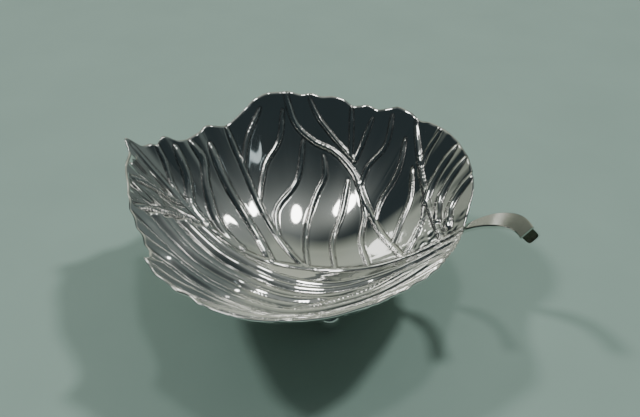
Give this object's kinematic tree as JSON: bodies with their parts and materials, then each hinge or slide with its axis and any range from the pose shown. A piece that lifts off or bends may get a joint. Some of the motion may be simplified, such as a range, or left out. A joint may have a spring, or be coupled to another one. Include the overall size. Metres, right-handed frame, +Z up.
{
  "type": "leaf-form serving bowl",
  "caption": "Silver leaf-shaped serving bowl with a wavy rim, chased veins, a curled hollow stem for a handle and ball feet.",
  "frame": {"origin": "on the table, under the middle of the object's box", "axes": "+Z up, +X along the leaf from its tip to its stem, +Y to the left when looking along +X"},
  "size_m": [0.2246, 0.1826, 0.077],
  "materials": {
    "leaf_silver": "polished silver, raised and chased, light wear",
    "stem_silver": "polished silver with filed edges",
    "foot_silver": "polished silver, dulled where it meets the table"
  },
  "bodies": {
    "root": {"leaf_bowl": "leaf_silver", "stem_top_plate": "stem_silver", "stem_under_shell": "stem_silver", "stem_end_plate": "stem_silver", "foot_ball_tip": "foot_silver", "foot_collar_tip": "foot_silver", "foot_ball_front": "foot_silver", "foot_collar_front": "foot_silver", "foot_ball_back": "foot_silver", "foot_collar_back": "foot_silver"}
  },
  "joints": []
}
